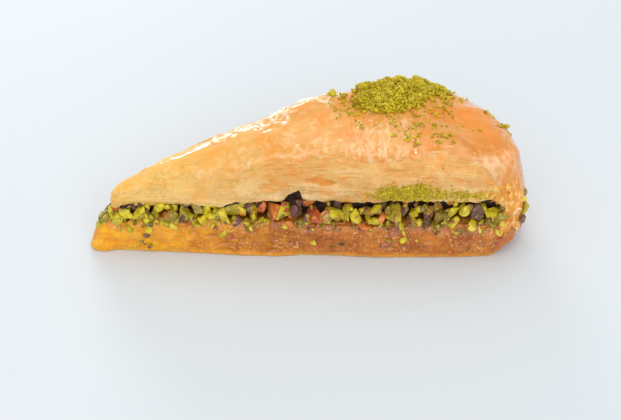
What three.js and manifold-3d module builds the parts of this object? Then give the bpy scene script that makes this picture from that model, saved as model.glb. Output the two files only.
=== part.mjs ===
// A carrot slice of pistachio baklava: a long wedge cut out of a round tray.
// Millimetres, +Z up. The tip points to -X, the front cut runs along X and faces -Y, and the browned rim that lay
// against the wall of the tray closes the +X end. The origin is under the middle of the slice, where it rests.
//
// From the bottom up: a dense stack of syrup-soaked leaves, a layer of chopped pistachio, a tall stack of crisp
// leaves whose rim folds down over the end of the nuts, and a little heap of ground pistachio on top.
import * as THREE from "three";
import { mergeVertices } from "three/addons/utils/BufferGeometryUtils.js";
import Module from "manifold-3d";

const wasm = await Module();
wasm.setup();

// Driving dimensions of the slice, seen from above. The cut frame has its corner at the tip of the front cut.
const LENGTH = 154.5; // along the front cut, from the tip to the rim
const TIP_WIDTH = 5; // across the blunt tip
const WEDGE_ANGLE = THREE.MathUtils.degToRad(22); // between the two cuts
const RIM_LEAN = THREE.MathUtils.degToRad(26.5); // how far the rim's chord turns from square to the front cut
const RIM_BULGE = 6; // how far the rim arches out from its chord

// Heights.
const BASE_HEIGHT = 15.6; // the soaked stack
const BASE_SWELL = 0.6; // it is a little taller at its two ends
const NUTS_AT_TIP = 4.2; // the layer of nuts thins out towards the tip
const NUTS_AT_RIM = 9.4;
const TIP_HEIGHT = 21; // top of the slice at its tip
const CROWN_HEIGHT = 48.2; // top of the slice where it is tallest
const CROWN_START = 88; // the top climbs from the tip and is level from here
const CROWN_FULLNESS = 0.88; // below 1 the climb is steeper at the tip
const CROWN_SAG = 3.2; // and sinks again towards the rim
const CORNER_SAG = 6.5; // most of all at its far corner, between these two distances
const CORNER_SAG_FROM = 155;
const CORNER_SAG_TO = 198;
const CORNER_BEARING = 1.2; // a step back counts for more than a step along

// Edges.
const SHOULDER_REACH = 11; // the top leaves bend down over the cuts and the rim
const SHOULDER_DROP = 8;
const RIM_SETBACK = 0.6; // the upper stack's rim stands back a little at its foot and leans in towards its top
const RIM_TOP_SETBACK = 4.5;
const TRAY_CORNER = 8; // the round corner between the floor and the wall of the tray
const ROUNDING = { tip: 2, near: 14, far: 17 }; // of the outline's corners: how far from each one it starts
const NEAR_ROUNDING = 19; // the soaked stack is rounder where its front cut meets the rim
const FOOT_EDGE = 0.8; // rounding under the two cuts
const BASE_BOW = 1.3; // the soaked stack's front cut bows out in its middle
const TIP_SPREAD = 1.6; // and its tip spreads at the foot
const RIM_CRUST = 10; // thickness of the leaves that fold down over the end of the nuts
const TOP_SETBACK = 1.6; // the upper stack stands back from the lower one at the cuts
const TOP_TIP_SETBACK = 3.5;
const TOP_RIPPLE = 1.2; // the top is lightly wavy
const BROW_DROP = 1; // rounding of the soaked stack's upper edge
const NUT_SETBACK = 1.2;
const NUT_TIP_SETBACK = 2;
const NUT_RELIEF = 0.8; // how far single nuts stand in or out of the cut
const GAP = 0.3; // clearance between neighbouring solids
const CRUST_GAP = 0.9; // and between the end of the nuts and the rim's crust

// The heap of ground pistachio, over the far side of the crown.
const HEAP_AT = [106.5, 34];
const HEAP_LENGTH = 35;
const HEAP_WIDTH = 20;
const HEAP_HEIGHT = 2.6;
const HEAP_EDGE = 0.5; // a grain's thickness all round its edge

const clamp01 = (v) => THREE.MathUtils.clamp(v, 0, 1);
const smooth = (v, from, to) => THREE.MathUtils.smoothstep(v, from, to);

// A gentle unevenness between -1 and 1, from a few waves of different lengths.
const UNEVEN_WAVES = [
  { turns: 1, share: 0.5 },
  { turns: 2.3, share: 0.3 },
  { turns: 4.9, share: 0.2 },
];
function uneven(distance, wavelength, seed) {
  return UNEVEN_WAVES.reduce(
    (sum, wave, i) => sum + wave.share * Math.sin((2 * Math.PI * distance * wave.turns) / wavelength + seed * (i + 1)),
    0,
  );
}

// The four corners of the slice in the cut frame, each side moved in by its own setback.
function corners({ tip = 0, cuts = 0, rim = 0 }) {
  const back = new THREE.Vector2(Math.cos(WEDGE_ANGLE), Math.sin(WEDGE_ANGLE)); // along the back cut
  const chord = new THREE.Vector2(-Math.sin(RIM_LEAN), Math.cos(RIM_LEAN)); // along the rim, front to back
  const rimStart = new THREE.Vector2(LENGTH - rim / Math.cos(RIM_LEAN), 0);
  const backStart = new THREE.Vector2(0, TIP_WIDTH - cuts / Math.cos(WEDGE_ANGLE));
  const backAt = (x) => backStart.y + x * Math.tan(WEDGE_ANGLE);
  const near = rimStart.clone().addScaledVector(chord, cuts / chord.y);
  const along = (backStart.y + (rimStart.x - backStart.x) * (back.y / back.x) - rimStart.y) /
    (chord.y - (chord.x * back.y) / back.x);
  const far = rimStart.clone().addScaledVector(chord, along);
  // Where the setbacks would cross near the tip, the outline keeps a little width.
  const middle = (cuts + backAt(tip)) / 2;
  const half = Math.max((backAt(tip) - cuts) / 2, TIP_WIDTH / 4);
  return {
    tipFront: new THREE.Vector2(tip, Math.min(cuts, middle - half)),
    near,
    far,
    tipBack: new THREE.Vector2(tip, middle + half),
  };
}

// The outline of the slice, anticlockwise from above, with rounded corners and an arched rim. The front cut may bow
// out a little.
function outline(setbacks, count, radii = {}, bow = 0) {
  // Moving the cuts in shortens the arch of the rim but leaves the rest of it in place.
  const chordLength = ({ near, far }) => near.distanceTo(far);
  const bulge = RIM_BULGE * (chordLength(corners(setbacks)) / chordLength(corners({ ...setbacks, cuts: 0 }))) ** 2;
  const { rim = 0 } = setbacks;
  const { tipFront, near, far, tipBack } = corners({ ...setbacks, rim: rim + bulge - RIM_BULGE });
  const from = (a, b, distance) => a.clone().addScaledVector(b.clone().sub(a).normalize(), distance);
  const chord = far.clone().sub(near);
  const arch = near.clone().add(far).multiplyScalar(0.5)
    .addScaledVector(new THREE.Vector2(chord.y, -chord.x).normalize(), 2 * bulge);
  const round = { ...ROUNDING, ...radii };
  const path = new THREE.Path();
  const corner = (at, next, radius) => {
    const end = from(at, next, radius);
    path.quadraticCurveTo(at.x, at.y, end.x, end.y);
  };
  const line = (to) => path.lineTo(to.x, to.y);
  const start = from(tipFront, near, round.tip);
  path.moveTo(start.x, start.y);
  const cutEnd = from(near, tipFront, round.near);
  path.quadraticCurveTo((start.x + cutEnd.x) / 2, (start.y + cutEnd.y) / 2 - 2 * bow, cutEnd.x, cutEnd.y);
  corner(near, arch, round.near);
  const rimEnd = from(far, arch, round.far);
  path.quadraticCurveTo(arch.x, arch.y, rimEnd.x, rimEnd.y);
  corner(far, tipBack, round.far);
  line(from(tipBack, far, round.tip));
  corner(tipBack, tipFront, Math.min(round.tip, tipBack.distanceTo(tipFront) / 2));
  corner(tipFront, near, round.tip);
  return path.getSpacedPoints(count).slice(0, count);
}

// How far a point lies inside the rim.
function rimDistance(x, y) {
  const chord = new THREE.Vector2(-Math.sin(RIM_LEAN), Math.cos(RIM_LEAN));
  const rimLength = corners({}).far.distanceTo(corners({}).near);
  const offset = new THREE.Vector2(x - LENGTH, y);
  const along = clamp01(offset.dot(chord) / rimLength);
  return 4 * RIM_BULGE * along * (1 - along) - offset.dot(new THREE.Vector2(chord.y, -chord.x));
}

// The surfaces between the layers, in the cut frame.
const baseTop = (x) => BASE_HEIGHT + BASE_SWELL * Math.cos((2 * Math.PI * x) / LENGTH);
const nutsThick = (x) => THREE.MathUtils.lerp(NUTS_AT_TIP, NUTS_AT_RIM, Math.sqrt(clamp01(x / LENGTH)));
const nutsTop = (x) => baseTop(x) + nutsThick(x);

function crown(x, y) {
  const climb = Math.sin((Math.PI / 2) * clamp01(x / CROWN_START)) ** CROWN_FULLNESS;
  const rimSag = CROWN_SAG * smooth(x, CROWN_START, LENGTH);
  const cornerSag = CORNER_SAG * smooth(x + CORNER_BEARING * y, CORNER_SAG_FROM, CORNER_SAG_TO);
  return THREE.MathUtils.lerp(TIP_HEIGHT, CROWN_HEIGHT, climb) - rimSag - cornerSag;
}

// Height lost where the top bends down, at a distance inside the outline; a narrow tip has a smaller bend.
function shoulder(distance, reachAcross) {
  const reach = Math.min(SHOULDER_REACH, reachAcross);
  const drop = SHOULDER_DROP * (reach / SHOULDER_REACH);
  const rise = 1 - clamp01(distance / reach);
  return drop * (1 - Math.sqrt(1 - rise * rise));
}

// Height of the underside at a distance inside a point of the outline: a wide bend under the rim, a sharp one under
// the cuts.
function footHeight(distance, edge) {
  const radius = THREE.MathUtils.lerp(TRAY_CORNER, FOOT_EDGE, smooth(rimDistance(edge.x, edge.y), 3, 14));
  return radius - Math.sqrt(radius ** 2 - Math.max(0, radius - distance) ** 2);
}

// A closed solid between a lower and an upper outline: rings run out over the underside, up the wall and in over
// the top, towards a spine inside the outlines, and a cap closes each end.
function loaf({ lower, upper = lower, spine, rings, underRings = rings, under, over, walls = [], shift = () => 0 }) {
  const inwardFrom = (edge) => {
    const target = spine.closestPointToPoint(new THREE.Vector3(edge.x, edge.y, 0), true, new THREE.Vector3());
    return new THREE.Vector2(target.x, target.y).sub(edge);
  };
  const ring = (points, share, surface) => points.map((edge) => {
    const inward = inwardFrom(edge);
    const reach = inward.length();
    const p = edge.clone().addScaledVector(inward, share);
    return [p.x, p.y, surface(p.x, p.y, share * reach, reach, edge)];
  });
  const foot = ring(lower, 0, under);
  const brim = ring(upper, 0, over);
  const wall = (v) => lower.map((edge, i) => {
    const outward = inwardFrom(edge).normalize().multiplyScalar(-shift(i / lower.length, v, edge));
    const [x, y, z] = foot[i].map((value, axis) => THREE.MathUtils.lerp(value, brim[i][axis], v));
    return [x + outward.x, y + outward.y, z];
  });
  return solidOf([
    ...[...underRings].reverse().map((share) => ring(lower, share, under)),
    ...walls.map(wall),
    ...rings.map((share) => ring(upper, share, over)),
  ]);
}

// Joins rings of equal count into one closed mesh.
function solidOf(levels) {
  const count = levels[0].length;
  const index = [];
  for (let level = 0; level + 1 < levels.length; level++) {
    for (let i = 0; i < count; i++) {
      const [a, b] = [level * count + i, level * count + ((i + 1) % count)];
      index.push(a, b, b + count, a, b + count, a + count);
    }
  }
  // The flanks of an end ring run side by side, so the cap zips them together from the ring's first point.
  const cap = (level, facesUp) => {
    const points = levels[level];
    const travel = (i) => Math.abs(points[i][0] - points[0][0]);
    let [i, j] = [0, count - 1];
    while (i + 1 < j) {
      const third = travel(i + 1) <= travel(j - 1) ? i + 1 : j - 1;
      const order = facesUp ? [i, third, j] : [i, j, third];
      index.push(...order.map((k) => level * count + k));
      if (third === i + 1) i++;
      else j--;
    }
  };
  cap(0, false);
  cap(levels.length - 1, true);
  const geometry = new THREE.BufferGeometry();
  geometry.setAttribute("position", new THREE.Float32BufferAttribute(levels.flat(2), 3));
  geometry.setIndex(index);
  return geometry;
}

function toManifold(geometry) {
  const merged = mergeVertices(geometry, 1e-4);
  return new wasm.Manifold(
    new wasm.Mesh({
      numProp: 3,
      vertProperties: merged.attributes.position.array,
      triVerts: new Uint32Array(merged.index.array),
    }),
  );
}

function fromManifold(solid) {
  const { vertProperties, triVerts } = solid.getMesh();
  const geometry = new THREE.BufferGeometry();
  geometry.setAttribute("position", new THREE.BufferAttribute(new Float32Array(vertProperties), 3));
  geometry.setIndex(new THREE.BufferAttribute(new Uint32Array(triVerts), 1));
  return geometry;
}

// The line that the rings of every layer run in to.
const SPINE = new THREE.Line3(new THREE.Vector3(9, 4.6, 0), new THREE.Vector3(116, 25, 0));

// The soaked stack: flat underneath, with the tray's round corner under its rim and slightly bellied cuts.
function bottomPastry() {
  const count = 112;
  return loaf({
    lower: outline({ tip: -TIP_SPREAD }, count, { near: NEAR_ROUNDING }, BASE_BOW),
    upper: outline({}, count, { near: NEAR_ROUNDING }, BASE_BOW),
    spine: SPINE,
    rings: [0, 0.08, 0.97],
    underRings: [0, 0.04, 0.12, 0.28],
    under: (x, y, distance, reach, edge) => footHeight(distance, edge),
    over: (x, y, distance) => baseTop(x) - BROW_DROP * clamp01(1 - distance / BROW_DROP),
    walls: [0.25, 0.5, 0.75],
    shift: (u, v) => 0.5 * Math.sin(Math.PI * v) * (0.6 + 0.4 * uneven(u * count, 17, v * 5)),
  });
}

// The layer of chopped nuts, lumpy where it shows at the cuts.
function pistachioFilling() {
  const count = 136;
  const setbacks = { tip: NUT_TIP_SETBACK, cuts: NUT_SETBACK, rim: RIM_CRUST + CRUST_GAP };
  return loaf({
    lower: outline(setbacks, count, { tip: 1, near: 0.5, far: 0.5 }),
    spine: SPINE,
    rings: [0, 0.12, 0.97],
    under: (x) => baseTop(x) + GAP,
    over: (x) => nutsTop(x) - GAP,
    walls: [0.3, 0.7],
    shift: (u, v, edge) => {
      const atCuts = smooth(rimDistance(edge.x, edge.y), RIM_CRUST + 2, RIM_CRUST + 5);
      return NUT_RELIEF * atCuts * uneven(u * count, 9, 2 + v * 4);
    },
  });
}

// The crisp stack: a tall loaf with bent-down edges, hollowed from below for the nuts, so that its rim folds down
// to the soaked stack.
function topPastry() {
  const count = 120;
  const setbacks = { tip: TOP_TIP_SETBACK, cuts: TOP_SETBACK };
  const ripple = (x, y, distance) =>
    TOP_RIPPLE * clamp01(distance / SHOULDER_REACH) * uneven(x - y, 70, 1) * uneven(x + 2 * y, 90, 3);
  const stack = loaf({
    lower: outline({ ...setbacks, rim: RIM_SETBACK }, count),
    upper: outline({ ...setbacks, rim: RIM_TOP_SETBACK }, count),
    spine: SPINE,
    rings: [0, 0.03, 0.09, 0.18, 0.3, 0.46, 0.7, 0.97],
    underRings: [0, 0.5, 0.97],
    under: (x) => baseTop(x) + GAP,
    over: (x, y, distance, reach) => crown(x, y) - shoulder(distance, reach * 0.9) + ripple(x, y, distance),
    walls: [0.34, 0.67],
    shift: (u, v) => 0.5 * uneven(u * count, 23, 1 + v * 6),
  });
  const room = loaf({
    lower: outline({ tip: -8, cuts: -6, rim: RIM_CRUST }, 80, { near: 0.5, far: 0.5 }),
    spine: SPINE,
    rings: [0, 0.97],
    under: (x) => baseTop(x) - 5,
    over: (x) => nutsTop(x),
  });
  return fromManifold(toManifold(stack).subtract(toManifold(room)));
}

// The heap of ground pistachio: an uneven mound, cut off below by the stack that it lies on.
function pistachioHeap(upperStack) {
  const count = 44;
  const surface = surfaceOf(upperStack);
  const lengthwise = new THREE.Vector2(Math.cos(WEDGE_ANGLE), Math.sin(WEDGE_ANGLE));
  const points = Array.from({ length: count }, (_, i) => {
    const angle = (2 * Math.PI * i) / count;
    const ragged = 1 + 0.16 * uneven(i, count / 3, 2);
    const [a, b] = [(HEAP_LENGTH / 2) * ragged * Math.cos(angle), (HEAP_WIDTH / 2) * ragged * Math.sin(angle)];
    return new THREE.Vector2(
      HEAP_AT[0] + a * lengthwise.x - b * lengthwise.y,
      HEAP_AT[1] + a * lengthwise.y + b * lengthwise.x,
    );
  });
  const middle = new THREE.Line3(
    new THREE.Vector3(HEAP_AT[0] - HEAP_LENGTH / 6, HEAP_AT[1] - 2, 0),
    new THREE.Vector3(HEAP_AT[0] + HEAP_LENGTH / 6, HEAP_AT[1] + 2, 0),
  );
  const pile = (x, y, distance, reach) =>
    HEAP_HEIGHT * Math.sin((Math.PI / 2) * clamp01(distance / reach)) * (1 + 0.15 * uneven(x + y, 13, 4));
  const mound = loaf({
    lower: points,
    spine: middle,
    rings: [0, 0.25, 0.5, 0.75, 0.95],
    under: (x, y) => surface(x, y) - HEAP_HEIGHT,
    over: (x, y, distance, reach) => surface(x, y) + GAP + HEAP_EDGE + pile(x, y, distance, reach),
  });
  const bed = upperStack.clone().translate(0, 0, GAP);
  return fromManifold(toManifold(mound).subtract(toManifold(bed)));
}

// The height of a finished mesh straight under a point, for what lies on it.
function surfaceOf(geometry) {
  const mesh = new THREE.Mesh(geometry, new THREE.MeshBasicMaterial({ side: THREE.DoubleSide }));
  const down = new THREE.Vector3(0, 0, -1);
  return (x, y) => new THREE.Raycaster(new THREE.Vector3(x, y, 100), down).intersectObject(mesh)[0].point.z;
}

const MATERIALS = {
  bottom_pastry: { color: 0xc4843f, roughness: 0.35 },
  pistachio_filling: { color: 0x8f9a2e, roughness: 0.6 },
  top_pastry: { color: 0xf0b56e, roughness: 0.3 },
  pistachio_heap: { color: 0xb3a536, roughness: 0.9 },
};

const upper = topPastry();
const layers = {
  bottom_pastry: bottomPastry(),
  pistachio_filling: pistachioFilling(),
  top_pastry: upper,
  pistachio_heap: pistachioHeap(upper),
};

// The cut frame moves so that the origin comes under the middle of the slice.
const footprint = new THREE.Box3();
for (const geometry of Object.values(layers)) {
  geometry.computeBoundingBox();
  footprint.union(geometry.boundingBox);
}
const centre = footprint.getCenter(new THREE.Vector3());

const slice = new THREE.Group();
slice.position.set(-centre.x, -centre.y, -footprint.min.z);
for (const [name, geometry] of Object.entries(layers)) {
  const { color, roughness } = MATERIALS[name];
  const mesh = new THREE.Mesh(geometry, new THREE.MeshStandardMaterial({ color, roughness, metalness: 0 }));
  mesh.name = name;
  slice.add(mesh);
}

export default slice;
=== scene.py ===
"""Looks of a carrot slice of pistachio baklava: leaves, nuts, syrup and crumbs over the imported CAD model.

Shapes are worked out in millimetres in the row frame and turned to metres when a mesh is made.
"""
import math

import bmesh
import bpy
import numpy as np
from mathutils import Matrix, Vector
from mathutils.bvhtree import BVHTree


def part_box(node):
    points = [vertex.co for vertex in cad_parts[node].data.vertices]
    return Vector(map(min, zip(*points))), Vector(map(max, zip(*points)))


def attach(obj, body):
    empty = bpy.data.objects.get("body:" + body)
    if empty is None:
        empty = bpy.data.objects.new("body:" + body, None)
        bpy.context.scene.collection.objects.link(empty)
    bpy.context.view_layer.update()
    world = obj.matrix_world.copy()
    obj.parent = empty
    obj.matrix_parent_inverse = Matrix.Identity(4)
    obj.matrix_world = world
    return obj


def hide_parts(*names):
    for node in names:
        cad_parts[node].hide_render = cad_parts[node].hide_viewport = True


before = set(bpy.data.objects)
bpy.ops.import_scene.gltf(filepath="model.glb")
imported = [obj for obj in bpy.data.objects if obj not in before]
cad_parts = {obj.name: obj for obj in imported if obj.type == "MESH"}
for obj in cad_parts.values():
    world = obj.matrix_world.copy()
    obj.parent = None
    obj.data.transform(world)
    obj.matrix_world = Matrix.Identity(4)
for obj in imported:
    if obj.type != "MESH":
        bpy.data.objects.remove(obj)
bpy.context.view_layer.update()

MM = 0.001
STATIONS = 600  # columns of every skin, round the slice
FAR = 150  # where rays start from, well outside the slice
ABOVE = 90  # and where they start when they look straight down
SKY = np.array((0.0, 0.0, 1.0))
LEVEL = np.array((1.0, 1.0, 0.0))

LOW, HIGH = (np.array(corner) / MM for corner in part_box("bottom_pastry"))
SPAN = HIGH - LOW
LENGTH = SPAN[0]

# Marks on the front cut of the crisp stack, as shares of the length.
NOTCH_AT = 0.434  # where its lower edge starts to rise over the nuts, to drop again further on
POCKET_AT = 0.526  # where the leaves gape
POCKET_HEIGHT = 31.8
DUST_HEIGHT = 27.4  # where ground nut has dusted them
PROUD = 0.6  # how far loose bits may stand out past the CAD's box


# ---------------------------------------------------------------- numbers

def lattice_value(cell, seed):
    """A repeatable number from -1 to 1 for each whole-number cell."""
    n = cell[..., 0] * 374761393 + cell[..., 1] * 668265263 + cell[..., 2] * 1274126177 + seed * 974634777
    n = n & 0xFFFFFFFF
    n = ((n ^ (n >> 13)) * 1103515245) & 0xFFFFFFFF
    n = ((n ^ (n >> 15)) * 374761393) & 0xFFFFFFFF
    return ((n ^ (n >> 16)) & 0xFFFF) / 32767.5 - 1


def noise(points, size, seed):
    """Smooth noise from about -1 to 1, with features of about size mm (one number or one for each axis)."""
    p = np.asarray(points, float) / size + 17.31 * (seed + 1)
    cell = np.floor(p).astype(np.int64)
    f = p - cell
    f = f * f * f * (f * (f * 6 - 15) + 10)
    total = 0
    for dx in (0, 1):
        for dy in (0, 1):
            for dz in (0, 1):
                weight = 1
                for axis, step in enumerate((dx, dy, dz)):
                    weight = weight * (f[..., axis] if step else 1 - f[..., axis])
                total = total + weight * lattice_value(cell + np.array((dx, dy, dz)), seed)
    return total


def waves(points, *layers):
    """The sum of several layers of noise, each given as its strength, size and seed."""
    return sum(strength * noise(points, size, seed) for strength, size, seed in layers)


def ridges(points, size, seed):
    """Narrow crests, 0 to 1, along the lines where smooth noise changes sign."""
    return np.clip(1 - np.abs(noise(points, size, seed)) * 2.2, 0, 1) ** 2


def smoothstep(value, start, end):
    t = np.clip((np.asarray(value, float) - start) / (end - start), 0, 1)
    return t * t * (3 - 2 * t)


def lerp(a, b, t):
    return a + (b - a) * t


def unit(v):
    return v / np.maximum(np.linalg.norm(v, axis=-1, keepdims=True), 1e-9)


def blur(grid, sigma, axis, wrap):
    """Gaussian smoothing of a grid along one axis."""
    reach = int(3 * sigma) + 1
    weights = np.exp(-0.5 * (np.arange(-reach, reach + 1) / sigma) ** 2)
    weights /= weights.sum()
    pad = [(0, 0)] * grid.ndim
    pad[axis] = (reach, reach)
    wide = np.pad(grid, pad, mode="wrap") if wrap else np.pad(grid, pad, mode="reflect", reflect_type="odd")
    take = lambda k: np.take(wide, range(k, k + grid.shape[axis]), axis=axis)
    return sum(w * take(k) for k, w in enumerate(weights))


# ---------------------------------------------------------------- meshes

def mesh_object(name, points, faces, attributes=None, smooth=True):
    mesh = bpy.data.meshes.new(name)
    mesh.from_pydata((np.asarray(points) * MM).tolist(), [], faces)
    for key, values in (attributes or {}).items():
        layer = mesh.attributes.new(key, "FLOAT", "POINT")
        layer.data.foreach_set("value", np.asarray(values, np.float32).ravel())
    mesh.validate()
    mesh.polygons.foreach_set("use_smooth", [smooth] * len(mesh.polygons))
    piece = bpy.data.objects.new(name, mesh)
    bpy.context.scene.collection.objects.link(piece)
    return piece


def zip_faces(ring, first, up):
    """Triangles that close an end ring by joining its two flanks, from its first point on."""
    count = len(ring)
    travel = np.abs(ring[:, 0] - ring[0, 0])
    faces = []
    i, j = 0, count - 1
    while i + 1 < j:
        third = i + 1 if travel[i + 1] <= travel[j - 1] else j - 1
        face = (i, third, j) if up else (i, j, third)
        faces.append([first + k for k in face])
        if third == i + 1:
            i += 1
        else:
            j -= 1
    return faces


def ring_faces(rings):
    """Faces of a closed solid through rings that run from its underside, out and up, to its top."""
    levels, count = rings.shape[:2]
    level, i = np.meshgrid(np.arange(levels - 1), np.arange(count), indexing="ij")
    a = level * count + i
    b = level * count + (i + 1) % count
    quads = np.stack([a, b, b + count, a + count], axis=-1).reshape(-1, 4).tolist()
    top = (levels - 1) * count
    return quads + zip_faces(rings[0], 0, False) + zip_faces(rings[-1], top, True)


def grid_normals(grid):
    """Outward normals of rings that run anticlockwise and upwards."""
    along = np.roll(grid, -1, axis=1) - np.roll(grid, 1, axis=1)
    up = np.gradient(grid, axis=0)
    return unit(np.cross(along, up))


def padded(values, grid, before, after, end):
    """Values at a grid's points, and one end value on the rings added before and after them."""
    ends = [np.full((rings, STATIONS), end) for rings in (before, after)]
    return np.concatenate([ends[0], values + 0 * grid[..., 0], ends[1]])


def tube_faces(first, rings, corners):
    """Faces of a closed tube, from its first point on, through rings that have so many corners each."""
    faces = []
    last = first + (rings - 1) * corners
    for p in range(first, last, corners):
        faces += [[p + e, p + corners + e, p + corners + (e + 1) % corners, p + (e + 1) % corners]
                  for e in range(corners)]
    return faces + [[first + e for e in reversed(range(corners))], [last + e for e in range(corners)]]


# ---------------------------------------------------------------- the CAD's skin

def tree_of(piece):
    mesh = piece.data
    return BVHTree.FromPolygons([v.co / MM for v in mesh.vertices], [p.vertices for p in mesh.polygons])


def first_hit(trees, origin, direction, reach=10 * FAR):
    """The nearest surface that a ray meets within reach, as a point and its normal, or None."""
    hits = [tree.ray_cast(Vector(origin), Vector(direction), reach) for tree in trees]
    hits = [hit for hit in hits if hit[0] is not None]
    if not hits:
        return None
    point, normal, _, _ = min(hits, key=lambda hit: hit[3])
    return np.array(point), np.array(normal)


def cast(tree, origin, direction):
    found = first_hit([tree], origin, direction)
    return None if found is None else found[0]


SPINE_A = (LOW + SPAN * (0.06, 0.087, 0))[:2]
SPINE_B = (LOW + SPAN * (0.755, 0.473, 0))[:2]
ALONG = unit(SPINE_B - SPINE_A)
FRONT = np.array((ALONG[1], -ALONG[0]))


def station(t):
    """Origin on the spine and outward direction for t from 0 to 4: front cut, rim, back cut and tip."""
    side, part = int(t) % 4, t % 1
    turn = math.pi * part
    if side == 0:
        return lerp(SPINE_A, SPINE_B, part), FRONT
    if side == 1:
        return SPINE_B, FRONT * math.cos(turn) + ALONG * math.sin(turn)
    if side == 2:
        return lerp(SPINE_B, SPINE_A, part), -FRONT
    return SPINE_A, -FRONT * math.cos(turn) - ALONG * math.sin(turn)


TRIAL_RAYS = 1600  # rays that measure a node's girth
SLOPES = 64  # rays that measure one column


def skin(node, rows, heart, edge_of):
    """The outside of a CAD node as a smooth grid: rows up from its lower edge and columns round the slice.

    heart gives the height that a column is looked at from, and edge_of the height of its lowest point.
    """
    tree = tree_of(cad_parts[node])

    def inward(origin, direction, height, slope=0.0):
        ray = np.array((*(direction * math.cos(slope)), math.sin(slope)))
        return cast(tree, np.array((*origin, height)) + ray * FAR, -ray)

    trial = np.linspace(0, 4, TRIAL_RAYS + 1)[:-1]
    ring = np.array([inward(*station(t), heart(tree, station(t)[0])) for t in trial])
    steps = np.linalg.norm(np.roll(ring, -1, axis=0) - ring, axis=1)
    travelled = np.concatenate([[0], np.cumsum(steps)])
    at = np.interp(np.arange(STATIONS) * travelled[-1] / STATIONS, travelled, np.append(trial, 4.0))

    columns = []
    for t in at:
        origin, direction = station(t)
        middle = heart(tree, origin)
        reach = (inward(origin, direction, middle)[:2] - origin) @ direction
        edge = edge_of(tree, origin + direction * (reach - 0.8))
        foot = inward(origin, direction, edge + 0.2)
        reach = (foot[:2] - origin) @ direction
        lowest = math.atan2(edge + 0.2 - middle, reach)
        slopes = np.linspace(lowest, math.pi / 2, SLOPES)
        hits = [inward(origin, direction, middle, slope) for slope in slopes]
        hits = np.array([h for h in hits if h is not None])
        length = np.concatenate([[0], np.cumsum(np.linalg.norm(np.diff(hits, axis=0), axis=1))])
        wanted = np.linspace(0, length[-1], rows)
        columns.append(np.stack([np.interp(wanted, length, hits[:, axis]) for axis in range(3)], axis=-1))
    grid = np.stack(columns, axis=1)
    grid = blur(grid, 3.0, 1, True)
    return blur(grid, 2.0, 0, False)


class Skin:
    """A node's outside, looked up by distance up from its lower edge."""

    def __init__(self, grid):
        self.grid = grid
        steps = np.linalg.norm(np.diff(grid, axis=0), axis=2)
        self.length = steps.sum(axis=0)
        around = np.linalg.norm(np.roll(grid[4], -1, axis=0) - grid[4], axis=1)
        self.around = np.concatenate([[0], np.cumsum(around)[:-1]])
        normals = grid_normals(grid)
        self.normals = normals
        # The shoulder is where a column has turned halfway to the top.
        turned = normals[:, :, 2] > 0.6
        self.shoulder = self.length * np.argmax(turned, axis=0) / (len(grid) - 1)
        self.shoulder = blur(self.shoulder[None], 4.0, 1, True)[0]
        outward = normals[len(grid) // 8]
        # 1 on the rim, where the pastry lay against the tray, and 0 on the cuts.
        rim = smoothstep(outward[:, 0], 0.45, 0.8) * (grid[4][:, 0] > 0)
        self.rim = blur(rim[None].astype(float), 5.0, 1, True)[0]

    def at(self, up):
        """Points for a grid of distances (rows, stations) up from the lower edge."""
        row = np.clip(up / self.length, 0, 1) * (len(self.grid) - 1)
        low = np.clip(np.floor(row).astype(int), 0, len(self.grid) - 2)
        part = (row - low)[..., None]
        columns = np.arange(up.shape[1])
        return self.grid[low, columns] * (1 - part) + self.grid[low + 1, columns] * part


def place_along(points):
    """Distance from the tip along the front cut."""
    return points[..., 0] - LOW[0]


def tip_droop(points):
    """How far the crisp stack's lower edge sinks towards the tip."""
    x = place_along(points) / LENGTH
    return 2.8 * smoothstep(x, 0.2, 0.0) + 1.9 * smoothstep(x, 0.44, 0.27)


def tip_slump(points):
    """How far the soaked stack's upper edge sinks towards the tip."""
    return 2.8 * smoothstep(place_along(points) / LENGTH, 0.12, 0.0)


# ---------------------------------------------------------------- the crisp stack

def leaf_lines(points, leaf, depth, seed):
    """Relief, tone and painted crease shade of stacked leaves about leaf mm thick, in bundles that sway along
    the cut.
    """
    sway = waves(points, (1.5, (30, 30, 12), seed), (0.6, (8, 8, 5), seed + 1),
                 (0.25, (3.2, 3.2, 3), seed + 6))
    level = points[..., 2] + sway
    number = np.floor(level / leaf)
    inside = level / leaf - number
    where = np.stack([points[..., 0], points[..., 1], number * 31.7], axis=-1)
    stand = waves(where, (0.6, (8, 8, 1), seed + 2), (0.4, (2.4, 2.4, 1), seed + 3))
    groove = smoothstep(np.abs(inside - 0.5), 0.22, 0.5)
    bundle = noise(np.stack([points[..., 0], points[..., 1], level], axis=-1), (11, 11, 2.4), seed + 4)
    split = smoothstep(noise(where, (6, 6, 1), seed + 5), 0.5, 0.8) * smoothstep(inside, 0.5, 0.95)
    blotch = waves(points, (0.6, (7, 7, 4), seed + 7), (0.6, (2.4, 2.4, 3.4), seed + 8))
    relief = depth * (stand - 0.6 * groove + 1.6 * bundle + blotch) - 1.2 * depth * split
    tone = np.clip(0.5 + 0.22 * stand + 0.38 * bundle + 0.3 * blotch, 0, 1)
    return relief, tone, np.clip(0.12 * groove + 0.22 * split, 0, 1)


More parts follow.
